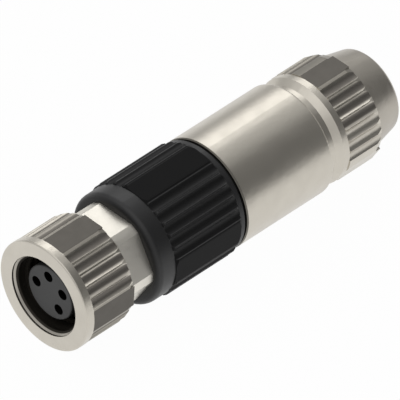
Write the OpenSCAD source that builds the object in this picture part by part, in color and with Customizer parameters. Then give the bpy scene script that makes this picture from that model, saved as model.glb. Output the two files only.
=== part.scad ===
// Circular sensor connector: a socket with a screwed coupling nut, a spanner hexagon,
// a fluted grip, a screwed sleeve and a cable gland. All sizes are in millimetres.
// The connector lies along X. Its mouth is at x = 0 and the cable leaves towards +X.
// Angles go round the axis from the top (+Z) towards -Y.

/* [Coupling nut] */
// Length of the nut, from the mouth to its rear end
nut_len = 6.1; // [5.8:0.1:7.5]
// Diameter of the plain collar at the mouth
nut_collar_d = 11.26; // [11.22:0.02:12.4]
// Length of the plain collar
nut_collar_len = 0.95; // [0.6:0.05:1.6]
// Diameter over the ribs
nut_rib_d = 11.18; // [10.8:0.02:11.18]
// Diameter of the mouth
mouth_d = 8.2; // [8:0.05:8.8]
// Depth of the straight part of the mouth, in front of its countersink
mouth_depth = 0.2; // [0.1:0.02:0.4]
// Bore of the coupling thread
coupling_bore_d = 7.56; // [7.4:0.02:7.8]
// Length of the ribs' rear chamfer
nut_chamfer = 0.65; // [0.3:0.05:0.9]
// Length of the inward lip that turns on the shell's neck
nut_lip_len = 0.74; // [0.5:0.02:1]
// Turn of the nut round the axis, in degrees
nut_turn = -2; // [-45:1:45]

/* [Socket insert] */
// Diameter of the insert that enters the mating plug
insert_d = 5.6; // [5.4:0.05:5.9]
// Depth of the insert's face behind the mouth
insert_recess = 0.8; // [0.4:0.05:1.4]
// Diameter of the carrier's body behind the insert
carrier_d = 7.4; // [7.2:0.05:7.6]
// Length of the carrier that stands out behind the shell, with the terminals
terminal_len = 4.3; // [3.8:0.1:4.5]
// Diameter of the circle through the contacts
pin_circle_d = 3.49; // [3.3:0.01:3.6]
// Angle between neighbouring contacts
pin_pitch = 73.3; // [70:0.1:78]
// Angle of the middle of the contact pattern
pin_turn = 25.5; // [-180:0.1:180]
// Diameter of the holes in the insert's face
pin_hole_d = 1.06; // [1:0.02:1.2]
// Outside diameter of a contact's tube
contact_d = 1.44; // [1.3:0.02:1.5]
// Bore of a contact's tube
contact_bore_d = 1.04; // [0.94:0.02:1.1]
// Diameter of a contact's terminal head
terminal_d = 1.8; // [1.7:0.02:1.84]
// Diameter of a terminal screw
screw_d = 1; // [0.8:0.05:1.1]

/* [Front shell] */
// Spanner size of the hexagon, across its flats
hex_af = 9; // [8.8:0.1:9.6]
// Diameter that trims the hexagon's corners
hex_trim_d = 9.86; // [9.8:0.02:10.4]
// Length of the hexagon
hex_len = 2.89; // [2:0.01:4]
// Turn of the hexagon round the axis, in degrees
hex_turn = -3; // [-30:1:30]
// Diameter of the neck that carries the coupling nut
neck_d = 7.2; // [7:0.05:7.3]
// Length of the neck in front of the hexagon
neck_len = 1.75; // [1.6:0.05:2]
// Wall of the shell inside the grip
shell_wall = 0.65; // [0.6:0.05:0.8]
// Length of the thread that carries the sleeve
shell_thread_len = 5.25; // [4.6:0.05:5.5]

/* [Grip] */
// Diameter of the plain collar in front of the ribs
grip_collar_d = 11.39; // [11.2:0.01:11.5]
// Length from the front face to the ribs
grip_collar_len = 2.16; // [1.2:0.02:3]
// Radius of the front edge
grip_edge_r = 0.65; // [0.2:0.05:0.7]
// Diameter over the ribs
grip_rib_d = 11.8; // [11.7:0.02:12.4]
// Length of the ribs
grip_rib_len = 8.3; // [6:0.1:12]
// Diameter of the plain rim behind the ribs
grip_rim_d = 11.36; // [11.2:0.01:11.5]
// Length of the rim
grip_rim_len = 0.65; // [0.4:0.05:1]
// Turn of the grip round the axis, in degrees
grip_turn = 0; // [-45:1:45]

/* [Sleeve] */
// Outside diameter of the sleeve
sleeve_d = 11.4; // [11.2:0.05:12.4]
// Length of the sleeve's smooth body
sleeve_len = 11.1; // [10.4:0.05:14]
// Radius of the sleeve's rear edge
sleeve_edge_r = 0.25; // [0.1:0.05:0.5]
// Thickness of the flat seal between grip and sleeve
seal_thick = 0.25; // [0.15:0.05:0.6]
// Width of the flat seal, from its bore to its rim
seal_width = 0.94; // [0.6:0.02:1]
// Depth of the fine threads on the shell and on the sleeve's end
thread_depth = 0.28; // [0.2:0.02:0.3]
// Diameter of the thread that carries the gland nut
gland_thread_d = 8.7; // [8.5:0.05:8.8]
// Length of the threaded end that goes into the gland nut
spigot_len = 4.85; // [4.4:0.05:5]
// Wall of the threaded end
spigot_wall = 0.85; // [0.7:0.05:0.95]

/* [Cable gland] */
// Diameter of the nut's front boss
gland_boss_d = 10; // [9.8:0.05:10.4]
// Length of the front boss
gland_boss_len = 0.85; // [0.5:0.05:1.2]
// Length of the bevel behind the boss
gland_bevel_len = 0.68; // [0.4:0.02:1]
// Length of the plain collar in front of the ribs
gland_collar_len = 0.72; // [0.4:0.02:1.2]
// Diameter of the plain collar
gland_collar_d = 10.96; // [10.6:0.02:11]
// Diameter over the ribs
gland_rib_d = 11.12; // [11.04:0.02:11.8]
// Length of the ribs, with their rear chamfer
gland_rib_len = 4.2; // [3.6:0.05:6]
// Length of the ribs' rear chamfer
gland_chamfer = 0.65; // [0.3:0.05:0.9]
// Diameter of the smooth cap where it leaves the ribs
cap_d = 10; // [9.6:0.05:10.2]
// Diameter of the cap at its rear end
cap_end_d = 8.66; // [8:0.02:9]
// Length of the smooth cap
cap_len = 3.55; // [3:0.05:5]
// Radius of the cap's rear edge
cap_edge_r = 0.45; // [0.2:0.05:0.6]
// Diameter of the hole for the cable
cable_hole_d = 5.5; // [5:0.05:5.8]
// Diameter of the cable that the seal fits
cable_d = 3.8; // [3.2:0.1:4]
// Number of fingers of the clamp cage
cage_fingers = 6; // [4:2:8]
// Turn of the gland nut round the axis, in degrees
gland_turn = -4; // [-60:1:60]

/* [Ribs] */
// Radius of the flutes between the ribs
flute_r = 0.72; // [0.66:0.01:0.74]
// Depth of the flutes
flute_depth = 0.28; // [0.2:0.01:0.29]
// Depth of the ribs' rear chamfer
chamfer_depth = 0.2; // [0.16:0.02:0.26]
// Length by which flutes and flats run out into the plain collar beside them
flute_runout = 0.06; // [0.04:0.01:0.2]
// Half the angle that a gripping flat of the nut or the grip takes
flat_half_angle = 12.25; // [11:0.25:13]
// Half the angle that a gripping flat of the gland nut takes
gland_flat_half_angle = 11.5; // [10:0.25:11.75]
// Angle between flutes on the nut and the grip
flute_pitch = 12; // [12:0.1:12.6]
// Angle between flutes on the gland nut
gland_flute_pitch = 11.8; // [11.8:0.1:12.4]
// Angle by which the gland nut's flutes lie off the middle between its flats
gland_flute_shift = -3.8; // [-5:0.2:5]

/* [Clearances] */
// Radial gap where one piece turns on another
turn_gap = 0.05; // [0.03:0.01:0.08]
// Radial gap where one piece slides into another
slip_gap = 0.05; // [0.03:0.01:0.08]
// Radial gap between a thread's crest and the bore round it
thread_gap = 0.03; // [0.02:0.01:0.06]
// Axial gap between faces that turn on each other
face_gap = 0.05; // [0.02:0.01:0.1]
// Axial gap on each side of a flat seal
seal_gap = 0.02; // [0.01:0.01:0.04]

/* [Hidden] */
$fn = 96;

// Extra length by which a cutter passes the face that it leaves
over = 0.5;
// Small breaks on turned edges
break_edge = 0.1;
// Snap ring: its wire, how far it stands in and out of the neck, and the angle of its opening
ring_wire = 0.3;
ring_stand = 0.35;
ring_mouth = 50;
// Room round the snap ring in the nut
ring_room = 0.2;
// Face seal: its length, its step under the neck's rim, and the depth of the groove that holds it
face_seal_len = 0.65;
face_seal_inset = 0.1;
foot_step = 0.2;
// Walls in front of the carrier's body and in front of the contacts
front_wall = 0.75;
insert_web = 1;
// Contacts: depth of the socket, length of the head inside the shell, and its step behind the carrier's end
contact_bore_len = 5;
terminal_grip = 3.4;
terminal_recess = 0.5;
// Wire hole of a terminal
wire_hole_d = 1.1;
wire_hole_len = 4.5;
// Terminal screw: its distance from the carrier's end, and how far it is sunk
screw_back = 2.1;
screw_sink = 0.15;
// O-ring: its wire, the squeeze left out at its rim and seat, its groove's side room and its place
o_ring_wire = 0.72;
o_ring_gap = 0.02;
o_ring_room = 0.1;
o_ring_back = 1.4;
// Step from the shell's body down to its thread
thread_step = 0.05;
// Lead-in at the ends of threads and bores
thread_lead = 0.3;
// Room for the wires round the carrier and at its end, and the ledge that the shield ring rests on
cavity_gap = 0.6;
cavity_room = 0.5;
ledge_gap = 0.3;
ledge_len = 0.4;
// Clamp cage: its wall, and its slots
cage_wall = 0.85;
slot_from = 2.5;
slot_w = 0.5;
// Conical seat in the gland nut, and the length of the cage that lies in it
seat_gap = 0.6;
seat_room = 0.15;
seat_len = 1.8;
tip_len = 1.1;
// Shield ring's length
shield_len = 1.5;
// Cable seal: its step inside the cage, and its lips
cable_seal_inset = 0.2;
cable_seal_lips = 4;
lip_pitch = 0.95;
lip_depth = 0.22;

// Stations along the axis, from the mouth to the cable
neck_x = nut_len + face_gap - neck_len;
hex_x = nut_len + face_gap;
grip_x = hex_x + hex_len;
grip_rib_x = grip_x + grip_collar_len;
grip_rim_x = grip_rib_x + grip_rib_len;
seal_x = grip_rim_x + grip_rim_len;
sleeve_x = seal_x + seal_thick;
sleeve_end_x = sleeve_x + sleeve_len;
gland_gap = 2 * face_gap;
gland_x = sleeve_end_x + gland_gap;
gland_bevel_x = gland_x + gland_boss_len;
gland_collar_x = gland_bevel_x + gland_bevel_len;
gland_rib_x = gland_collar_x + gland_collar_len;
cap_x = gland_rib_x + gland_rib_len;
end_x = cap_x + cap_len;

// Coupling nut and what holds it
lip_x = nut_len - nut_lip_len;
ring_x = lip_x - face_gap - ring_wire;
ring_d = neck_d + 2 * ring_stand;
ring_seat_d = neck_d - 2 * ring_stand;
relief_d = ring_d + 2 * ring_room;
relief_x = neck_x - face_gap;
countersink = (mouth_d - coupling_bore_d) / 2;
face_seal_d = neck_d - 2 * face_seal_inset;
face_seal_x = neck_x - seal_gap - face_seal_len;

// Socket insert and contacts
insert_bore_d = insert_d + 2 * slip_gap;
insert_foot_d = insert_d - 2 * foot_step;
shoulder_x = hex_x + front_wall;
shell_bore_d = carrier_d + 2 * slip_gap;
shell_d = shell_bore_d + 2 * shell_wall;
shell_thread_d = shell_d - 2 * thread_step;
shell_end_x = seal_x + shell_thread_len;
carrier_end_x = shell_end_x + terminal_len;
contact_x = insert_recess + insert_web;
terminal_x = shell_end_x - terminal_grip;
terminal_end_x = carrier_end_x - terminal_recess;
screw_x = carrier_end_x - screw_back;
screw_tip = (pin_circle_d + wire_hole_d) / 2 + face_gap;
screw_top = carrier_d / 2 - screw_sink;
o_ring_d = shell_bore_d - o_ring_wire - 2 * o_ring_gap;
o_ring_x = grip_x + o_ring_back;
groove_len = o_ring_wire + 2 * o_ring_room;
groove_d = o_ring_d - o_ring_wire - o_ring_gap;
pin_angles = [for (i = [0:3]) pin_turn + (i - 1.5) * pin_pitch];

// Grip, sleeve and seal
grip_bore_d = shell_d + 2 * slip_gap;
sleeve_thread_d = shell_thread_d + 2 * thread_gap;
seal_bore_d = sleeve_thread_d + 2 * slip_gap;
seal_d = seal_bore_d + 2 * seal_width;
cavity_x = shell_end_x + cavity_gap;
cavity_d = carrier_d + 2 * cavity_room;
ledge_x = carrier_end_x + ledge_gap;
spigot_bore_d = gland_thread_d - 2 * spigot_wall;
spigot_end_x = sleeve_end_x + spigot_len;

// Gland
gland_bore_d = gland_thread_d + 2 * thread_gap;
cage_d = spigot_bore_d - 2 * slip_gap;
cage_bore_d = cage_d - 2 * cage_wall;
shield_x = ledge_x + ledge_len + face_gap;
cage_x = shield_x + shield_len + gland_gap;
slot_x = cage_x + slot_from;
seat_x = spigot_end_x + seat_gap;
seat_d = cage_d + 2 * seat_room;
throat_x = seat_x + seat_len;
seat_slope = (seat_d - cable_hole_d) / 2 / seat_len;
cage_tip_x = seat_x + tip_len;
cage_tip_d = cage_d - 2 * seat_slope * tip_len;
cable_seal_d = cage_bore_d - 2 * slip_gap;
cable_seal_x = cage_x + cable_seal_inset;

// Points of an arc about a centre in a half section
function arc(centre, r, from, to, steps = 8) =
    [for (i = [0:steps]) let (a = from + (to - from) * i / steps) centre + r * [cos(a), sin(a)]];

// Lays a piece that is drawn along Z into the connector's axis, with its +X side on top
module along_axis() {
    rotate([0, 90, 0]) rotate([0, 0, 180]) children();
}

// Turns a half section, given as radius and station, round the axis
module turned(section) {
    rotate_extrude() polygon(section);
}

// A plain ring between two diameters
module ring(outer_d, inner_d, x, len) {
    translate([0, 0, x]) difference() {
        cylinder(d = outer_d, h = len);
        translate([0, 0, -over]) cylinder(d = inner_d, h = len + 2 * over);
    }
}

// Cutters for the flutes, in groups between the flats
module flutes(rib_d, groups, per_group, pitch, x, len, shift = 0) {
    middle = 180 / groups + shift;
    centre_r = rib_d / 2 - flute_depth + flute_r;
    for (g = [0:groups - 1], k = [0:per_group - 1])
        rotate([0, 0, 360 * g / groups + middle + (k - (per_group - 1) / 2) * pitch])
            translate([centre_r, 0, x])
                cylinder(r = flute_r, h = len, $fn = 32);
}

// Plain strips under the gripping flats, which carry them past the ribs' chamfer
module flat_strips(rib_d, groups, half_angle, x, len) {
    foot_r = rib_d / 2 - 2 * flute_depth;
    strip_w = rib_d * sin(half_angle) - 2 * flute_runout;
    for (g = [0:groups - 1])
        rotate([0, 0, 360 * g / groups])
            translate([foot_r, -strip_w / 2, x])
                cube([2 * flute_depth, strip_w, len]);
}

// Cutters for the gripping flats
module flats(rib_d, groups, half_angle, x, len) {
    flat_r = rib_d / 2 * cos(half_angle);
    for (g = [0:groups - 1])
        rotate([0, 0, 360 * g / groups])
            translate([flat_r, -rib_d / 2, x])
                cube([rib_d, rib_d, len]);
}

module union_nut() {
    rib_r = nut_rib_d / 2;
    collar_r = nut_collar_d / 2;
    edge_r = 0.18;
    bore_end = relief_x - (relief_d - coupling_bore_d) / 2;
    section = concat(
        [[mouth_d / 2, 0]],
        arc([collar_r - edge_r, edge_r], edge_r, -90, 0),
        [
            [collar_r, nut_collar_len],
            [rib_r, nut_collar_len],
            [rib_r, nut_len - nut_chamfer],
            [rib_r - chamfer_depth, nut_len],
            [neck_d / 2 + turn_gap, nut_len],
            [neck_d / 2 + turn_gap, lip_x],
            [relief_d / 2, lip_x],
            [relief_d / 2, relief_x],
            [coupling_bore_d / 2, bore_end],
            [coupling_bore_d / 2, mouth_depth + countersink],
            [mouth_d / 2, mouth_depth]
        ]);
    cut_x = nut_collar_len - flute_runout;
    cut_len = nut_len - cut_x + over;
    strip_x = nut_len - nut_chamfer - flute_runout;
    color([0.80, 0.78, 0.73])
        along_axis() rotate([0, 0, nut_turn]) difference() {
            union() {
                turned(section);
                flat_strips(nut_rib_d, 4, flat_half_angle, strip_x, nut_len - strip_x);
            }
            flutes(nut_rib_d, 4, 5, flute_pitch, cut_x, cut_len);
            flats(nut_rib_d, 4, flat_half_angle, cut_x, cut_len);
        }
}

// Open wire ring in the neck's groove, behind which the nut's lip is caught
module snap_ring() {
    gap_w = ring_d * sin(ring_mouth / 2);
    color([0.62, 0.62, 0.60])
        along_axis() difference() {
            ring(ring_d, ring_seat_d + 2 * slip_gap, ring_x, ring_wire);
            translate([0, -gap_w / 2, ring_x - over])
                cube([ring_d, gap_w, ring_wire + 2 * over]);
        }
}

// Rubber ring on the insert, on which the mating plug closes
module face_seal() {
    color([0.06, 0.06, 0.06])
        along_axis() ring(face_seal_d, insert_foot_d + 2 * seal_gap, face_seal_x, face_seal_len);
}

module front_shell() {
    neck_r = neck_d / 2;
    root_r = shell_thread_d / 2 - thread_depth;
    groove_x = ring_x - face_gap / 2;
    groove_end = ring_x + ring_wire + face_gap / 2;
    hex_lead = 0.25;
    core_r = (shell_bore_d + shell_wall) / 2;
    outside = [
        [neck_r - break_edge, neck_x],
        [neck_r, neck_x + break_edge],
        [neck_r, groove_x],
        [ring_seat_d / 2, groove_x],
        [ring_seat_d / 2, groove_end],
        [neck_r, groove_end],
        [neck_r, hex_x + hex_lead],
        [core_r, hex_x + hex_lead],
        [core_r, grip_x],
        [shell_d / 2, grip_x],
        [shell_d / 2, seal_x],
        [root_r, seal_x],
        [root_r, shell_end_x - break_edge],
        [root_r - break_edge, shell_end_x]
    ];
    hex_section = [
        [0, hex_x],
        [hex_af / 2, hex_x],
        [hex_trim_d / 2, hex_x + hex_lead],
        [hex_trim_d / 2, grip_x],
        [0, grip_x]
    ];
    color([0.80, 0.78, 0.73])
        along_axis() difference() {
            union() {
                turned(concat(outside, [[0, shell_end_x], [0, neck_x]]));
                intersection() {
                    rotate([0, 0, hex_turn + 30]) translate([0, 0, hex_x])
                        cylinder(d = hex_af / cos(30), h = hex_len, $fn = 6);
                    turned(hex_section);
                }
            }
            translate([0, 0, neck_x - over])
                cylinder(d = insert_bore_d, h = shoulder_x - neck_x + 2 * over);
            translate([0, 0, shoulder_x])
                cylinder(d = shell_bore_d, h = shell_end_x - shoulder_x + over);
        }
}

// Places children at each contact's place on the pin circle
module at_pin(i) {
    rotate([0, 0, pin_angles[i]]) translate([pin_circle_d / 2, 0, 0]) children();
}

// Hole through the carrier for one contact, with its screw hole
module contact_chamber(i) {
    at_pin(i) {
        translate([0, 0, insert_recess - over])
            cylinder(d = pin_hole_d, h = contact_x - insert_recess + 2 * over, $fn = 48);
        translate([0, 0, contact_x])
            cylinder(d = contact_d + 2 * slip_gap, h = terminal_x - contact_x + over, $fn = 48);
        translate([0, 0, terminal_x])
            cylinder(d = terminal_d + slip_gap, h = carrier_end_x - terminal_x + over, $fn = 48);
        translate([0, 0, screw_x]) rotate([0, 90, 0])
            cylinder(d = screw_d + 2 * slip_gap, h = carrier_d / 2, $fn = 48);
    }
}

module contact_carrier() {
    insert_r = insert_d / 2;
    foot_r = insert_foot_d / 2;
    foot_x = face_seal_x - seal_gap;
    body_r = carrier_d / 2;
    body_x = shoulder_x + face_gap;
    edge_r = 0.15;
    section = concat(
        [[0, insert_recess]],
        arc([insert_r - edge_r, insert_recess + edge_r], edge_r, -90, 0, 4),
        [
            [insert_r, foot_x],
            [foot_r, foot_x],
            [foot_r, body_x],
            [body_r, body_x],
            [body_r, o_ring_x - groove_len / 2],
            [groove_d / 2, o_ring_x - groove_len / 2],
            [groove_d / 2, o_ring_x + groove_len / 2],
            [body_r, o_ring_x + groove_len / 2],
            [body_r, carrier_end_x - break_edge],
            [body_r - break_edge, carrier_end_x],
            [0, carrier_end_x]
        ]);
    color([0.28, 0.28, 0.28])
        along_axis() difference() {
            turned(section);
            for (i = [0:3]) contact_chamber(i);
        }
}

module carrier_o_ring() {
    color([0.06, 0.06, 0.06])
        along_axis() translate([0, 0, o_ring_x])
            rotate_extrude() translate([o_ring_d / 2, 0]) circle(d = o_ring_wire, $fn = 32);
}

// Turned contact: a slotted tube in front, and a head with the wire hole behind
module socket_contact(i) {
    tube_r = contact_d / 2;
    bore_r = contact_bore_d / 2;
    head_r = terminal_d / 2;
    start = contact_x + face_gap;
    lead = 0.08;
    slit_w = 0.14;
    slit_len = 3;
    section = [
        [bore_r + lead, start],
        [tube_r, start],
        [tube_r, terminal_x + face_gap],
        [head_r, terminal_x + face_gap],
        [head_r, terminal_end_x],
        [wire_hole_d / 2, terminal_end_x],
        [wire_hole_d / 2, terminal_end_x - wire_hole_len],
        [0, terminal_end_x - wire_hole_len],
        [0, start + contact_bore_len],
        [bore_r, start + contact_bore_len],
        [bore_r, start + lead]
    ];
    color([0.83, 0.69, 0.34])
        along_axis() at_pin(i) difference() {
            rotate_extrude($fn = 48) polygon(section);
            translate([-tube_r - over, -slit_w / 2, start - over])
                cube([2 * (tube_r + over), slit_w, slit_len + over]);
            translate([0, 0, screw_x]) rotate([0, 90, 0])
                cylinder(d = screw_d + slip_gap, h = terminal_d, $fn = 48);
        }
}

// Slotted grub screw that clamps the wire, set from the side
module terminal_screw(i) {
    slot_depth = 0.35;
    slot_wide = 0.2;
    color([0.72, 0.71, 0.68])
        along_axis() rotate([0, 0, pin_angles[i]]) difference() {
            translate([screw_tip, 0, screw_x]) rotate([0, 90, 0])
                cylinder(d = screw_d, h = screw_top - screw_tip, $fn = 48);
            translate([screw_top - slot_depth, -slot_wide / 2, screw_x - screw_d])
                cube([slot_depth + over, slot_wide, 2 * screw_d]);
        }
}

module grip_ring() {
    collar_r = grip_collar_d / 2;
    rib_r = grip_rib_d / 2;
    rim_r = grip_rim_d / 2;
    lead = 0.25;
    rise = rib_r - max(collar_r, rim_r);
    cut_x = grip_rib_x - flute_runout;
    cut_len = grip_rib_len + 2 * flute_runout;
    section = concat(
        [[grip_bore_d / 2, grip_x]],
        arc([collar_r - grip_edge_r, grip_x + grip_edge_r], grip_edge_r, -90, 0),
        [
            [collar_r, grip_rib_x],
            [rib_r - rise / 2, grip_rib_x],
            [rib_r, grip_rib_x + lead],
            [rib_r, grip_rim_x - lead],
            [rib_r - rise / 2, grip_rim_x],
            [rim_r, grip_rim_x],
            [rim_r, seal_x - break_edge],
            [rim_r - break_edge, seal_x],
            [grip_bore_d / 2, seal_x]
        ]);
    color([0.13, 0.13, 0.13])
        along_axis() rotate([0, 0, grip_turn]) difference() {
            turned(section);
            flutes(grip_rib_d, 4, 5, flute_pitch, cut_x, cut_len);
            flats(grip_rib_d, 4, flat_half_angle, cut_x, cut_len);
        }
}

module sleeve_seal() {
    color([0.05, 0.05, 0.05])
        along_axis() ring(seal_d, seal_bore_d, seal_x + seal_gap, seal_thick - 2 * seal_gap);
}

module rear_sleeve() {
    body_r = sleeve_d / 2;
    root_r = gland_thread_d / 2 - thread_depth;
    bore_r = sleeve_thread_d / 2;
    section = concat(
        [
            [bore_r + thread_lead, sleeve_x],
            [body_r - break_edge, sleeve_x],
            [body_r, sleeve_x + break_edge]
        ],
        arc([body_r - sleeve_edge_r, sleeve_end_x - sleeve_edge_r], sleeve_edge_r, 0, 90),
        [
            [root_r, sleeve_end_x],
            [root_r, spigot_end_x - break_edge],
            [root_r - break_edge, spigot_end_x],
            [spigot_bore_d / 2, spigot_end_x],
            [spigot_bore_d / 2, ledge_x + ledge_len],
            [cage_bore_d / 2, ledge_x + ledge_len],
            [cage_bore_d / 2, ledge_x],
            [cavity_d / 2, ledge_x],
            [cavity_d / 2, cavity_x],
            [bore_r, cavity_x],
            [bore_r, sleeve_x + thread_lead]
        ]);
    color([0.80, 0.78, 0.73]) along_axis() turned(section);
}

// Tapered ring over which the cable's braid is folded
module shield_ring() {
    shield_r = cage_d / 2;
    bore_r = cage_bore_d / 2;
    rear = shield_x + shield_len;
    lip = 0.45;
    section = [
        [bore_r, shield_x],
        [shield_r, shield_x],
        [shield_r, rear],
        [shield_r - lip, rear],
        [bore_r, rear - shield_len / 2]
    ];
    color([0.78, 0.66, 0.36]) along_axis() turned(section);
}

// Plastic cage whose fingers the gland nut presses on the cable's jacket
module clamp_cage() {
    cage_r = cage_d / 2;
    bore_r = cage_bore_d / 2;
    lead = 0.35;
    section = [
        [bore_r, cage_x],
        [cage_r - lead, cage_x],
        [cage_r, cage_x + lead],
        [cage_r, seat_x],
        [cage_tip_d / 2, cage_tip_x],
        [bore_r, cage_tip_x]
    ];
    color([0.86, 0.85, 0.80])
        along_axis() difference() {
            turned(section);
            for (k = [0:cage_fingers / 2 - 1])
                rotate([0, 0, 360 * k / cage_fingers])
                    translate([-cage_d, -slot_w / 2, slot_x])
                        cube([2 * cage_d, slot_w, cage_tip_x - slot_x + over]);
        }
}

// Rubber bush with sealing lips inside
module cable_seal() {
    seal_r = cable_seal_d / 2;
    lip_r = cable_d / 2;
    len = cable_seal_lips * lip_pitch;
    crest = 0.25;
    valley = 0.75;
    lips = [
        for (k = [cable_seal_lips - 1:-1:0], place = [valley, crest])
            [lip_r + (place == valley ? lip_depth : 0), cable_seal_x + (k + place) * lip_pitch]
    ];
    section = concat(
        [
            [lip_r + lip_depth, cable_seal_x],
            [seal_r, cable_seal_x],
            [seal_r, cable_seal_x + len],
            [lip_r + lip_depth, cable_seal_x + len]
        ],
        lips);
    color([0.10, 0.10, 0.10]) along_axis() turned(section);
}

module gland_nut() {
    rib_r = gland_rib_d / 2;
    boss_r = gland_boss_d / 2;
    collar_r = gland_collar_d / 2;
    cap_r = cap_d / 2;
    end_r = cap_end_d / 2;
    hole_r = cable_hole_d / 2;
    hole_edge_r = 0.4;
    taper = atan((cap_r - end_r) / (cap_len - cap_edge_r));
    cut_x = gland_rib_x - flute_runout;
    cut_len = cap_x - cut_x + flute_runout;
    strip_x = cap_x - gland_chamfer - flute_runout;
    section = concat(
        [
            [gland_bore_d / 2 + thread_lead, gland_x],
            [boss_r - break_edge, gland_x],
            [boss_r, gland_x + break_edge],
            [boss_r, gland_bevel_x],
            [collar_r, gland_collar_x],
            [collar_r, gland_rib_x],
            [rib_r, gland_rib_x],
            [rib_r, cap_x - gland_chamfer],
            [rib_r - chamfer_depth, cap_x],
            [cap_r, cap_x]
        ],
        arc([end_r - cap_edge_r, end_x - cap_edge_r], cap_edge_r, taper, 90),
        arc([hole_r + hole_edge_r, end_x - hole_edge_r], hole_edge_r, 90, 180),
        [
            [hole_r, throat_x],
            [seat_d / 2, seat_x],
            [gland_bore_d / 2, seat_x],
            [gland_bore_d / 2, gland_x + thread_lead]
        ]);
    color([0.80, 0.78, 0.73])
        along_axis() rotate([0, 0, gland_turn]) difference() {
            union() {
                turned(section);
                flat_strips(gland_rib_d, 3, gland_flat_half_angle, strip_x, cap_x - strip_x);
            }
            flutes(gland_rib_d, 3, 7, gland_flute_pitch, cut_x, cut_len, gland_flute_shift);
            flats(gland_rib_d, 3, gland_flat_half_angle, cut_x, cut_len);
        }
}

union_nut();
snap_ring();
face_seal();
front_shell();
contact_carrier();
carrier_o_ring();
socket_contact(0);  // socket_contact_1
socket_contact(1);  // socket_contact_2
socket_contact(2);  // socket_contact_3
socket_contact(3);  // socket_contact_4
terminal_screw(0);  // terminal_screw_1
terminal_screw(1);  // terminal_screw_2
terminal_screw(2);  // terminal_screw_3
terminal_screw(3);  // terminal_screw_4
grip_ring();
sleeve_seal();
rear_sleeve();
shield_ring();
clamp_cage();
cable_seal();
gland_nut();
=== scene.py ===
import math
import bpy
from mathutils import Matrix, Vector


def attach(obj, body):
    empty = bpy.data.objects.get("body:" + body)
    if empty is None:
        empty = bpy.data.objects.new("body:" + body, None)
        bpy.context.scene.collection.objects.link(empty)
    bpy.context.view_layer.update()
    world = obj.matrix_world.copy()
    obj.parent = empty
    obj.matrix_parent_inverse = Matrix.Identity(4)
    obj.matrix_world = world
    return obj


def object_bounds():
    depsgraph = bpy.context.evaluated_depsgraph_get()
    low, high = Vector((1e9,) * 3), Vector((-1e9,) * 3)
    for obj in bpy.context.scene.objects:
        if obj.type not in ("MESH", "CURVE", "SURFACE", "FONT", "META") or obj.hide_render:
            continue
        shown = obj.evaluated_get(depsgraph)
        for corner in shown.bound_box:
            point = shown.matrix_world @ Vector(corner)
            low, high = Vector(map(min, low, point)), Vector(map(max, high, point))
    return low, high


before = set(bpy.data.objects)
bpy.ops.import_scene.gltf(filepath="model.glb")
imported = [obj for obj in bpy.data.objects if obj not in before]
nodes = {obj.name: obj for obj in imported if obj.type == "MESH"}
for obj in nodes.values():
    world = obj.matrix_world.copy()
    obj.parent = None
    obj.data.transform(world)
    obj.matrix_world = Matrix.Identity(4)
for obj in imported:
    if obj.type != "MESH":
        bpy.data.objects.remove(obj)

cadBox = [list(corner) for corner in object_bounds()]
boxMiddle = (Vector(cadBox[0]) + Vector(cadBox[1])) / 2
contactNumbers = (1, 2, 3, 4)
scene = bpy.context.scene
scene.view_settings.view_transform = "Standard"
mm = 0.001
print("frame loaded:", len(nodes), "nodes")


# a socket in any node tree, so that shader and geometry maths read as plain expressions
class Wire:
    def __init__(self, tree, socket=None):
        self.tree = tree
        self.socket = socket

    def node(self, kind, settings=None, inputs=None, output=0):
        made = self.tree.nodes.new(kind)
        for name, value in (settings or {}).items():
            setattr(made, name, value)
        for name, value in (inputs or {}).items():
            self.feed(made.inputs[name], value)
        return Wire(self.tree, made.outputs[output]) if len(made.outputs) else made

    def feed(self, socket, value):
        if isinstance(value, Wire):
            self.tree.links.new(value.socket, socket)
        else:
            socket.default_value = value

    def sibling(self, name):
        return Wire(self.tree, self.socket.node.outputs[name])

    def maths(self, operation, a, b):
        return self.node("ShaderNodeMath", {"operation": operation}, {0: a, 1: b})

    def __add__(self, other):
        return self.maths("ADD", self, other)

    def __radd__(self, other):
        return self.maths("ADD", other, self)

    def __sub__(self, other):
        return self.maths("SUBTRACT", self, other)

    def __rsub__(self, other):
        return self.maths("SUBTRACT", other, self)

    def __mul__(self, other):
        return self.maths("MULTIPLY", self, other)

    def __rmul__(self, other):
        return self.maths("MULTIPLY", other, self)

    def __truediv__(self, other):
        return self.maths("DIVIDE", self, other)

    def __rtruediv__(self, other):
        return self.maths("DIVIDE", other, self)

    def __pow__(self, other):
        return self.maths("POWER", self, other)

    def __rpow__(self, other):
        return self.maths("POWER", other, self)


# the picture is a parallel view, so a very long lens stands for it
shot = {
    "azimuth": -45.0,
    "elevation": 39.85,
    "partTurn": -5.0,  # the part lies this much turned about its own axis, on a flat of its grip
    "pixelsPerMm": 11.0,
    "imageWidth": 400,
    "centreRight": 14.107,  # picture centre, mm right of and above the mouth's centre
    "centreUp": 8.709,
    "lens": 1400.0,
    "sensor": 36.0,
    "clip": (0.05, 4.0),  # metres
}
photoTurn = Matrix.Rotation(math.radians(shot["partTurn"]), 3, "X")


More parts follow.
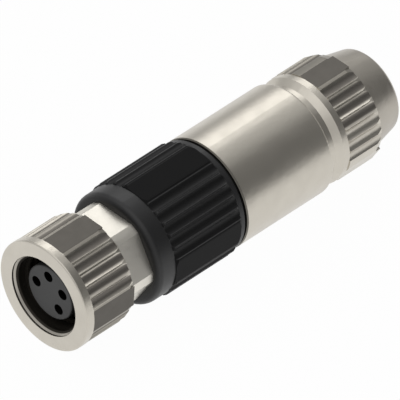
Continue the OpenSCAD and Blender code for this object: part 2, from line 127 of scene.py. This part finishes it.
def makeCamera():
    azimuth = math.radians(shot["azimuth"])
    elevation = math.radians(shot["elevation"])
    right = photoTurn @ Vector((math.cos(azimuth), math.sin(azimuth), 0))
    forward = photoTurn @ Vector((
        -math.sin(azimuth) * math.cos(elevation),
        math.cos(azimuth) * math.cos(elevation),
        -math.sin(elevation)))
    up = right.cross(forward)
    target = (right * shot["centreRight"] + up * shot["centreUp"]) * mm
    target += forward * (boxMiddle - target).dot(forward)
    pictureMm = shot["imageWidth"] / shot["pixelsPerMm"]
    distance = shot["lens"] * pictureMm / shot["sensor"] * mm
    camera = bpy.data.objects.new("camera", bpy.data.cameras.new("camera"))
    scene.collection.objects.link(camera)
    turn = Matrix((right, up, -forward)).transposed().to_4x4()
    camera.matrix_world = Matrix.Translation(target - forward * distance) @ turn
    camera.data.lens = shot["lens"]
    camera.data.sensor_width = shot["sensor"]
    camera.data.clip_start, camera.data.clip_end = shot["clip"]
    scene.camera = camera


makeCamera()
print("camera set")


def startMaterial(name):
    material = bpy.data.materials.new(name)
    material.use_nodes = True
    material.node_tree.nodes.clear()
    return material, Wire(material.node_tree)


def finishMaterial(board, shader):
    board.node("ShaderNodeOutputMaterial", None, {"Surface": shader})


def objectPlace(board):
    return board.node("ShaderNodeTexCoord", None, None, "Object")


# directions are in the picture's own frame: x along the axis to the cable, z up
studio = {
    "keyDirection": (0.5, 0.56, 0.66),
    "keyDistance": 0.6,
    "keySize": (0.34, 0.30),
    "keyRadiance": 1.42,
    "farSky": (0.41, 0.64),  # levels of the sky low down and overhead, beyond the part
    "nearSky": (0.62, 1.2),  # the same on the mouth's side
    "backdropLevel": 1.0,  # a pale backdrop behind the cable end
    "darkDirection": (0.54, -0.73, 0.38),
    "darkLevel": 0.17,
    "nearFade": (-0.4, 0.4),  # cosines where each part of the sky starts, and where it is full
    "overheadFade": (0.45, 0.95),
    "darkFade": (0.6, 0.95),
    "backdropFade": (0.93, 0.99),
    "floorReach": 3.0,
    "floorColour": (0.86, 0.86, 0.86, 1),
    "floorWhite": 0.975,  # share of plain white in what the eye and the metal see of the floor
    "whiteFrom": 0.05,  # the white fades between these distances from the part's middle, a painted pool of light round the part
    "whiteTo": 0.3,
    "whiteFar": 0.25,
}


def makeWorld():
    world = bpy.data.worlds.new("studio")
    scene.world = world
    world.use_nodes = True
    world.node_tree.nodes.clear()
    sky = Wire(world.node_tree)
    direction = sky.node("ShaderNodeTexCoord")

    def fade(way, limits):
        turned = photoTurn @ Vector(way).normalized()
        cosine = sky.node("ShaderNodeVectorMath", {"operation": "DOT_PRODUCT"},
                          {0: direction, 1: turned}, "Value")
        return sky.node("ShaderNodeMapRange", {"interpolation_type": "SMOOTHERSTEP"},
                        {"Value": cosine, "From Min": limits[0], "From Max": limits[1]})

    def blend(share, one, other):
        return one * (1 - share) + other * share

    near = fade((-1, 0, 0), studio["nearFade"])
    overhead = fade((0, 0, 1), studio["overheadFade"])
    dark = fade(studio["darkDirection"], studio["darkFade"])
    backdrop = fade((1, 0, 0), studio["backdropFade"])
    openSky = blend(near, blend(overhead, *studio["farSky"]), blend(overhead, *studio["nearSky"]))
    level = blend(backdrop, blend(dark, openSky, studio["darkLevel"]), studio["backdropLevel"])
    light = sky.node("ShaderNodeBackground", None, {"Color": (1, 1, 1, 1), "Strength": level})
    sky.node("ShaderNodeOutputWorld", None, {"Surface": light})


def makeLamp(name, direction, distance, size, radiance):
    lamp = bpy.data.lights.new(name, "AREA")
    lamp.shape = "RECTANGLE"
    lamp.size, lamp.size_y = size
    lamp.energy = radiance * math.pi * size[0] * size[1]
    holder = bpy.data.objects.new(name, lamp)
    scene.collection.objects.link(holder)
    way = photoTurn @ Vector(direction).normalized()
    holder.location = boxMiddle + way * distance
    holder.rotation_euler = way.to_track_quat("Z", "Y").to_euler()


def makeFloor():
    reach = studio["floorReach"]
    level = cadBox[0][2]
    mesh = bpy.data.meshes.new("floor")
    mesh.from_pydata([(-reach, -reach, level), (reach, -reach, level), (reach, reach, level),
                      (-reach, reach, level)], [], [(0, 1, 2, 3)])
    floor = bpy.data.objects.new("floor", mesh)
    scene.collection.objects.link(floor)
    material, board = startMaterial("paleFloor")
    path = board.node("ShaderNodeLightPath", None, None, "Is Camera Ray")
    seen = path + path.sibling("Is Glossy Ray") + path.sibling("Is Transmission Ray")
    matt = board.node("ShaderNodeBsdfDiffuse", None, {"Color": studio["floorColour"]})
    white = board.node("ShaderNodeEmission", None, {"Strength": 1.0})
    # painted pool of light: the white share falls from floorWhite near the part to whiteFar further out
    away = board.node("ShaderNodeVectorMath", {"operation": "DISTANCE"},
                      {0: objectPlace(board), 1: boxMiddle}, "Value")
    share = board.node("ShaderNodeMapRange", {"interpolation_type": "SMOOTHSTEP"}, {
        "Value": away, "From Min": studio["whiteFrom"], "From Max": studio["whiteTo"],
        "To Min": studio["floorWhite"], "To Max": studio["whiteFar"]})
    shown = board.node("ShaderNodeMixShader", None, {0: share, 1: matt, 2: white})
    finishMaterial(board, board.node("ShaderNodeMixShader", None, {0: seen, 1: matt, 2: shown}))
    mesh.materials.append(material)


makeWorld()
makeLamp("keyPanel", studio["keyDirection"], studio["keyDistance"], studio["keySize"], studio["keyRadiance"])
makeFloor()
print("studio set")


# soft edges of the masks in mm, apart from the crests' in radians and the count's in flats
blur = {"flat": 0.006, "line": 0.01, "step": 0.02, "cap": 0.03, "front": 0.1, "crest": 0.005, "count": 0.1}


# 6, 7 and output 2 are the Mix node's colour sockets
def mixColours(board, share, one, other):
    return board.node("ShaderNodeMix", {"data_type": "RGBA"}, {0: share, 6: one, 7: other}, 2)


# a noise with grains of about this many mm
def noise(board, place, size, detail):
    return board.node("ShaderNodeTexNoise", None, {
        "Vector": place, "Scale": 1 / (size * mm), "Detail": detail})


# 0 up to a value and 1 from it on, with a soft edge
def beyond(board, value, start, edge):
    return board.node("ShaderNodeMapRange", None, {
        "Value": value, "From Min": start - edge, "From Max": start + edge})


# 1 between two values and 0 outside, with a soft edge
def between(board, value, low, high, edge):
    return beyond(board, value, low, edge) * (1 - beyond(board, value, high, edge))


# mm along the axis and out from it
def latheCoordinates(board):
    x = board.node("ShaderNodeSeparateXYZ", None, {0: objectPlace(board)})
    y, z = x.sibling("Y"), x.sibling("Z")
    return x / mm, (y * y + z * z) ** 0.5 / mm


# angle about the axis, from the top towards -y
def turnAngle(board):
    x = board.node("ShaderNodeSeparateXYZ", None, {0: objectPlace(board)})
    return board.maths("ARCTAN2", -1 * x.sibling("Y"), x.sibling("Z"))


# each coat paints shade or light into the colour and may change roughness, where its own sizes say; sizes are
# mm, angles degrees
def turnedMetal(name, look, *coats):
    material, board = startMaterial(name)
    place = objectPlace(board)
    along, out = latheCoordinates(board)
    tool = board.node("ShaderNodeTexNoise", {"noise_dimensions": "1D"},
                      {"W": (along + out) / look["toolStep"], "Scale": 1.0, "Detail": 2.0})
    haze = noise(board, place, look["hazeSize"], detail=4.0)
    speck = noise(board, place, look["speckSize"], detail=2.0)
    mottle = noise(board, place, look["mottleSize"], detail=3.0)
    colour = mixColours(board, haze, look["colour"], look["colourHaze"])
    roughness = look["roughness"] + look["roughnessHaze"] * haze + look["roughnessTool"] * tool
    for coat, sizes in coats:
        colour, roughness = coat(board, along, out, sizes, colour, roughness)
    relief = board.node("ShaderNodeBump", None, {
        "Strength": 1.0, "Distance": look["toolDepth"] * mm,
        "Height": tool + speck + look["mottleDepth"] * mottle})
    finishMaterial(board, board.node("ShaderNodeBsdfPrincipled", None, {
        "Base Color": colour, "Metallic": 1.0, "Roughness": roughness, "Normal": relief}))
    return material


# painted shade: flats and flutes are darker than the smooth bands beside them, the flutes the more the deeper
# they lie, and both are rougher; some of the crests get the darker colour only
shadedDullNickel = {
    "crestColour": (0.34, 0.32, 0.28, 1), "flatColour": (0.15, 0.14, 0.125, 1),
    "fluteColour": (0.21, 0.195, 0.175, 1), "dullRoughness": 0.2, "shade": (0.12, 0.24)}
# flatTurn is the first flat's angle, dullFlats how many flats away from it the painted shade and roughness
# end, dullCrests the angles from a flat of the crests with painted shade, and paleShare how far the flutes
# past dullFlats lose their painted shade
nutRibs = {
    "from": 0.95, "to": 6.1, "crestRadius": 5.59, "chamferFrom": 5.45, "chamferSlope": 0.308,
    "flats": 4, "flatTurn": -2, "flatAngle": 12.25, "dullFlats": 4, "dullCrests": (-15, 40),
    "paleShare": 0.0, **shadedDullNickel}
glandRibs = {
    "from": 33.85, "to": 38.05, "crestRadius": 5.56, "chamferFrom": 37.4, "chamferSlope": 0.308,
    "flats": 3, "flatTurn": -4, "flatAngle": 11.5, "dullFlats": 0.5, "dullCrests": (-58, 44),
    "paleShare": 0.85, **shadedDullNickel}
gripRibs = {
    "from": 11.2, "to": 19.5, "crestRadius": 5.9, "chamferFrom": 19.5, "chamferSlope": 0.0,
    "flats": 4, "flatTurn": 0, "flatAngle": 12.25, "dullFlats": 4, "dullCrests": (-15, 15),
    "paleShare": 0.0, "shade": (0.02, 0.06)}
# how far a point may lie off a flat's plane, and how deep under the crests a flute starts
ribSkin = {"below": 0.012, "above": 0.02, "sunk": 0.02}


# painted shade on a ribbed band as three masks: flats, shaded crests and flutes, the flutes darker the deeper
# they lie
def ribMasks(board, along, out, ribs):
    step = 2 * math.pi / ribs["flats"]
    turns = (turnAngle(board) - math.radians(ribs["flatTurn"])) / step
    nearest = board.node("ShaderNodeMath", {"operation": "ROUND"}, {0: turns})
    away = board.node("ShaderNodeMath", {"operation": "ABSOLUTE"}, {0: nearest})
    off = (turns - nearest) * step
    band = between(board, along, ribs["from"], ribs["to"], blur["line"])
    pale = beyond(board, away, ribs["dullFlats"], blur["count"])
    shadedBand = band * (1 - pale)
    plane = ribs["crestRadius"] * math.cos(math.radians(ribs["flatAngle"]))
    reach = out * board.node("ShaderNodeMath", {"operation": "COSINE"}, {0: off})
    flat = shadedBand * between(board, reach, plane - ribSkin["below"], plane + ribSkin["above"], blur["flat"])
    crestFrom, crestTo = (math.radians(side) for side in ribs["dullCrests"])
    crest = shadedBand * between(board, off, crestFrom, crestTo, blur["crest"]) * (1 - flat)
    chamfer = ribs["chamferSlope"] * board.maths("MAXIMUM", along - ribs["chamferFrom"], 0.0)
    depth = ribs["crestRadius"] - out
    sunk = beyond(board, depth - chamfer, ribSkin["sunk"], blur["line"])
    shade = board.node("ShaderNodeMapRange", {"interpolation_type": "SMOOTHSTEP"}, {
        "Value": depth, "From Min": ribs["shade"][0], "From Max": ribs["shade"][1]})
    return flat, crest, band * sunk * shade * (1 - ribs["paleShare"] * pale)


# paints the masks' shade into the colour, and makes flats and flutes rougher
def ribCoat(board, along, out, ribs, colour, roughness):
    flat, crest, flute = ribMasks(board, along, out, ribs)
    colour = mixColours(board, crest, colour, ribs["crestColour"])
    colour = mixColours(board, flute, colour, ribs["fluteColour"])
    colour = mixColours(board, flat, colour, ribs["flatColour"])
    return colour, roughness + ribs["dullRoughness"] * board.maths("MAXIMUM", flat, flute)


# painted shade: behind the ribs the gland nut's end is a darker copy of the nickel
glandCapShade = {"from": 38.1, "colour": (0.46, 0.43, 0.38, 1)}


def capShadeCoat(board, along, out, cap, colour, roughness):
    behind = beyond(board, along, cap["from"], blur["cap"])
    return mixColours(board, behind, colour, cap["colour"]), roughness


# painted shade inside the nut's mouth: a darker band at the rim, then a nearly black, rougher bore
nutMouthShade = {
    "from": 0.03, "to": 5.95, "radius": 4.95, "boreFrom": 0.36, "boreRoughness": 0.3,
    "rimColour": (0.42, 0.395, 0.35, 1), "boreColour": (0.04, 0.036, 0.03, 1)}


def mouthShadeCoat(board, along, out, mouth, colour, roughness):
    inside = between(board, along, mouth["from"], mouth["to"], blur["line"])
    inside = inside * (1 - beyond(board, out, mouth["radius"], blur["step"]))
    deep = beyond(board, along, mouth["boreFrom"], blur["step"])
    paintedMouthShade = mixColours(board, deep, mouth["rimColour"], mouth["boreColour"])
    return mixColours(board, inside, colour, paintedMouthShade), roughness + mouth["boreRoughness"] * inside * deep


# painted highlight: the hexagon's faces are a brighter copy of the nickel, and rougher
hexagonHighlight = {"from": 6.12, "to": 9.03, "out": 4.45, "roughness": 0.08, "colour": (0.78, 0.75, 0.68, 1)}


def highlightCoat(board, along, out, hexagon, colour, roughness):
    faces = between(board, along, hexagon["from"], hexagon["to"], blur["step"])
    faces = faces * beyond(board, out, hexagon["out"], blur["step"])
    return mixColours(board, faces, colour, hexagon["colour"]), roughness + hexagon["roughness"] * faces


# painted shade: the sleeve's front edge, in the gap beside the grip, is darkened
sleeveEdgeShade = {"to": 20.53, "colour": (0.16, 0.15, 0.13, 1)}


def edgeShadeCoat(board, along, out, edge, colour, roughness):
    behind = beyond(board, along, edge["to"], blur["step"])
    return mixColours(board, behind, edge["colour"], colour), roughness


grainRise = 0.2  # height of a plastic's grain, as a share of its size


# where a mask is given, it mixes in a second skin of painted shade, darker and less glossy
def mouldedPlastic(name, look, shadeMask=None):
    material, board = startMaterial(name)
    place = objectPlace(board)
    grain = noise(board, place, look["grainSize"], detail=3.0)
    cloud = noise(board, place, look["cloudSize"], detail=2.0)
    relief = board.node("ShaderNodeBump", None, {
        "Strength": look["grainDepth"], "Distance": look["grainSize"] * grainRise * mm, "Height": grain})
    skin = {
        "Base Color": mixColours(board, cloud, look["colour"], look["colourCloud"]),
        "Roughness": look["roughness"] + look["roughnessGrain"] * grain,
        "Specular IOR Level": look["specular"],
        "Normal": relief}
    shader = board.node("ShaderNodeBsdfPrincipled", None, skin)
    if shadeMask:
        skin["Base Color"] = mixColours(board, cloud, look["shadeColour"], look["shadeCloud"])
        skin["Specular IOR Level"] = look["shadeSpecular"]
        shadedSkin = board.node("ShaderNodeBsdfPrincipled", None, skin)
        shader = board.node("ShaderNodeMixShader", None, {0: shadeMask(board), 1: shader, 2: shadedSkin})
    finishMaterial(board, shader)
    return material


# how far the grip's painted shade reaches at the front, and how strong it is there and in the flutes
gripShadeSizes = {"frontTo": 9.2, "frontShare": 0.5, "fluteShare": 0.65}


# painted shade on the grip's front face, its flats with the crests beside them, and its flutes
def gripShadeMask(board):
    along, out = latheCoordinates(board)
    flat, crest, flute = ribMasks(board, along, out, gripRibs)
    front = 1 - beyond(board, along, gripShadeSizes["frontTo"], blur["front"])
    shaded = board.maths("MAXIMUM", gripShadeSizes["frontShare"] * front, gripShadeSizes["fluteShare"] * flute)
    return board.maths("MAXIMUM", shaded, board.maths("MAXIMUM", flat, crest))


pinHoles = {"radius": 0.54, "to": 3.5}


# painted shade on the walls of the insert's holes, which lie in front of the contacts
def holeShadeMask(board):
    x = board.node("ShaderNodeSeparateXYZ", None, {0: objectPlace(board)})
    mask = 0.0
    for index in contactNumbers:
        corners = [Vector(corner) for corner in nodes[f"socket_contact_{index}"].bound_box]
        middle = sum(corners, Vector()) / len(corners)
        y, z = x.sibling("Y") - middle.y, x.sibling("Z") - middle.z
        out = (y * y + z * z) ** 0.5 / mm
        mask = mask + (1 - beyond(board, out, pinHoles["radius"], blur["line"]))
    return (1 - beyond(board, x / mm, pinHoles["to"], blur["line"])) * mask


nickelLook = {
    "colour": (0.63, 0.595, 0.525, 1), "colourHaze": (0.59, 0.555, 0.49, 1),
    "roughness": 0.25, "roughnessHaze": 0.15, "roughnessTool": 0.03, "hazeSize": 1.4,
    "toolStep": 0.06, "toolDepth": 0.002, "speckSize": 0.05, "mottleSize": 0.5, "mottleDepth": 7.0}
smallMetal = {
    "roughnessHaze": 0.1, "roughnessTool": 0.05, "hazeSize": 1.0,
    "toolStep": 0.05, "toolDepth": 0.003, "speckSize": 0.05, "mottleSize": 0.6, "mottleDepth": 1.0}
finishes = {
    "nickel": turnedMetal("nickelPlate", nickelLook),
    "nickelSleeve": turnedMetal("nickelPlateSleeve", nickelLook, (edgeShadeCoat, sleeveEdgeShade)),
    "nickelShell": turnedMetal("nickelPlateShell", nickelLook, (highlightCoat, hexagonHighlight)),
    "nickelNut": turnedMetal("nickelPlateNut", nickelLook, (ribCoat, nutRibs), (mouthShadeCoat, nutMouthShade)),
    "nickelGland": turnedMetal("nickelPlateGland", nickelLook, (ribCoat, glandRibs), (capShadeCoat, glandCapShade)),
    "spring": turnedMetal("springSteel", {
        **smallMetal, "colour": (0.42, 0.42, 0.41, 1), "colourHaze": (0.36, 0.36, 0.35, 1),
        "roughness": 0.3}),
    "gold": turnedMetal("goldPlate", {
        **smallMetal, "colour": (0.83, 0.6, 0.24, 1), "colourHaze": (0.78, 0.55, 0.21, 1),
        "roughness": 0.2, "roughnessHaze": 0.08}),
    "zinc": turnedMetal("zincPlate", {
        **smallMetal, "colour": (0.6, 0.6, 0.58, 1), "colourHaze": (0.53, 0.53, 0.52, 1),
        "roughness": 0.28, "hazeSize": 0.6}),
    "brass": turnedMetal("turnedBrass", {
        **smallMetal, "colour": (0.72, 0.53, 0.25, 1), "colourHaze": (0.65, 0.47, 0.22, 1),
        "roughness": 0.25, "toolStep": 0.06}),
    "grip": mouldedPlastic("gripPlastic", {
        "colour": (0.011, 0.011, 0.0115, 1), "colourCloud": (0.014, 0.014, 0.0145, 1), "cloudSize": 3.0,
        "shadeColour": (0.005, 0.005, 0.0052, 1), "shadeCloud": (0.007, 0.007, 0.0072, 1),
        "grainSize": 0.12, "grainDepth": 0.12, "roughness": 0.38, "roughnessGrain": 0.1,
        "specular": 0.5, "shadeSpecular": 0.06}, gripShadeMask),
    "insert": mouldedPlastic("insertPlastic", {
        "colour": (0.040, 0.040, 0.040, 1), "colourCloud": (0.050, 0.050, 0.050, 1), "cloudSize": 1.5,
        "shadeColour": (0.002, 0.002, 0.002, 1), "shadeCloud": (0.003, 0.003, 0.003, 1),
        "grainSize": 0.1, "grainDepth": 0.2, "roughness": 0.42, "roughnessGrain": 0.15,
        "specular": 0.4, "shadeSpecular": 0.05}, holeShadeMask),
    "cage": mouldedPlastic("cagePlastic", {
        "colour": (0.66, 0.64, 0.56, 1), "colourCloud": (0.7, 0.68, 0.6, 1), "cloudSize": 2.0,
        "grainSize": 0.12, "grainDepth": 0.15, "roughness": 0.4, "roughnessGrain": 0.15, "specular": 0.45}),
    "rubber": mouldedPlastic("sealRubber", {
        "colour": (0.01, 0.01, 0.01, 1), "colourCloud": (0.016, 0.016, 0.016, 1), "cloudSize": 1.0,
        "grainSize": 0.08, "grainDepth": 0.3, "roughness": 0.6, "roughnessGrain": 0.2, "specular": 0.35}),
}

finishOf = {
    "union_nut": "nickelNut",
    "front_shell": "nickelShell",
    "rear_sleeve": "nickelSleeve",
    "gland_nut": "nickelGland",
    "snap_ring": "spring",
    "shield_ring": "brass",
    "contact_carrier": "insert",
    "grip_ring": "grip",
    "clamp_cage": "cage",
    "face_seal": "rubber",
    "carrier_o_ring": "rubber",
    "sleeve_seal": "rubber",
    "cable_seal": "rubber",
}
for index in contactNumbers:
    finishOf[f"socket_contact_{index}"] = "gold"
    finishOf[f"terminal_screw_{index}"] = "zinc"
for name, piece in nodes.items():
    piece.data.materials.clear()
    piece.data.materials.append(finishes[finishOf[name]])
print("finishes set")


# sizes in mm; a thread stands outwards, or inwards with Side -1
threads = {
    "shellThread": {
        "body": "core", "Root Radius": 4.06, "Height": 0.28, "Pitch": 0.5, "Turns": 8.6,
        "Start": 20.75, "Foot": 0.44, "Crest": 0.1},
    "sleeveThread": {
        "body": "sleeve", "Root Radius": 4.06, "Height": 0.28, "Pitch": 0.5, "Turns": 8.0,
        "Start": 32.0, "Foot": 0.44, "Crest": 0.1},
    "couplingThread": {
        "body": "coupling_nut", "Root Radius": 3.785, "Height": 0.27, "Pitch": 1.0, "Turns": 2.2,
        "Start": 1.5, "Foot": 0.8, "Crest": 0.14, "Side": -1, "finish": "nickelNut"},
}
ridge = {"stepsPerTurn": 64, "endScale": 0.02}


# one ridge wound round the axis, with run-outs at both ends
def threadTree():
    tree = bpy.data.node_groups.new("threadRidge", "GeometryNodeTree")
    sizes = {"Root Radius": 4.0 * mm, "Height": 0.3 * mm, "Pitch": 0.5 * mm, "Turns": 8.0,
             "Start": 0.0, "Foot": 0.4 * mm, "Crest": 0.1 * mm, "Run-out": 0.06, "Side": 1.0}
    for label, value in sizes.items():
        socket = tree.interface.new_socket(label, in_out="INPUT", socket_type="NodeSocketFloat")
        socket.default_value = value
    tree.interface.new_socket("Finish", in_out="INPUT", socket_type="NodeSocketMaterial")
    tree.interface.new_socket("Geometry", in_out="OUTPUT", socket_type="NodeSocketGeometry")
    board = Wire(tree)
    size = board.node("NodeGroupInput", None, None, "Root Radius")
    turns, pitch, height = size.sibling("Turns"), size.sibling("Pitch"), size.sibling("Height")
    side = size.sibling("Side")
    path = board.node("GeometryNodeCurveSpiral", None, {
        "Resolution": ridge["stepsPerTurn"], "Rotations": turns, "Start Radius": size, "End Radius": size,
        "Height": turns * pitch, "Reverse": True})  # right-handed
    upright = board.node("GeometryNodeSetCurveNormal", {"mode": "Z_UP"}, {"Curve": path})
    share = board.node("GeometryNodeSplineParameter", None, None, "Factor")
    ends = board.maths("MINIMUM", share, 1 - share)
    grow = board.node("ShaderNodeMapRange", None, {
        "Value": ends, "From Min": 0.0, "From Max": size.sibling("Run-out"),
        "To Min": ridge["endScale"], "To Max": 1.0})
    section = board.node("GeometryNodeCurvePrimitiveQuadrilateral", {"mode": "TRAPEZOID"}, {
        "Bottom Width": size.sibling("Foot"), "Top Width": size.sibling("Crest"),
        "Height": height, "Offset": 0.0})
    lifted = board.node("GeometryNodeTransform", None, {
        "Geometry": section,
        "Translation": board.node("ShaderNodeCombineXYZ", None, {"X": side * height * 0.5}),
        "Rotation": board.node("ShaderNodeCombineXYZ", None, {"Z": side * (-math.pi / 2)})})
    wound = board.node("GeometryNodeCurveToMesh", None, {
        "Curve": upright, "Profile Curve": lifted, "Scale": grow, "Fill Caps": True})
    laid = board.node("GeometryNodeTransform", None, {
        "Geometry": wound,
        "Translation": board.node("ShaderNodeCombineXYZ", None, {"X": size.sibling("Start")}),
        "Rotation": (0, math.pi / 2, 0)})
    real = board.node("GeometryNodeRealizeInstances", None, {"Geometry": laid})
    done = board.node("GeometryNodeSetMaterial", None, {"Geometry": real, "Material": size.sibling("Finish")})
    board.node("NodeGroupOutput", None, {"Geometry": done})
    return tree


def makeThread(name, shape, tree):
    holder = bpy.data.objects.new(name, bpy.data.meshes.new(name + "Start"))
    scene.collection.objects.link(holder)
    wound = holder.modifiers.new("wound", "NODES")
    wound.node_group = tree
    for socket in tree.interface.items_tree:
        if socket.in_out == "INPUT" and socket.name in shape:
            scale = 1.0 if socket.name in ("Turns", "Side") else mm
            wound[socket.identifier] = float(shape[socket.name] * scale)
        elif socket.name == "Finish":
            wound[socket.identifier] = finishes[shape.get("finish", "nickel")]
    seen = holder.evaluated_get(bpy.context.evaluated_depsgraph_get())
    mesh = bpy.data.meshes.new_from_object(seen)
    mesh.name = name
    holder.modifiers.remove(wound)
    holder.data = mesh
    mesh.shade_smooth()
    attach(holder, shape["body"])


ridgeTree = threadTree()
for name, shape in threads.items():
    makeThread(name, shape, ridgeTree)
print("threads wound:", len(threads))
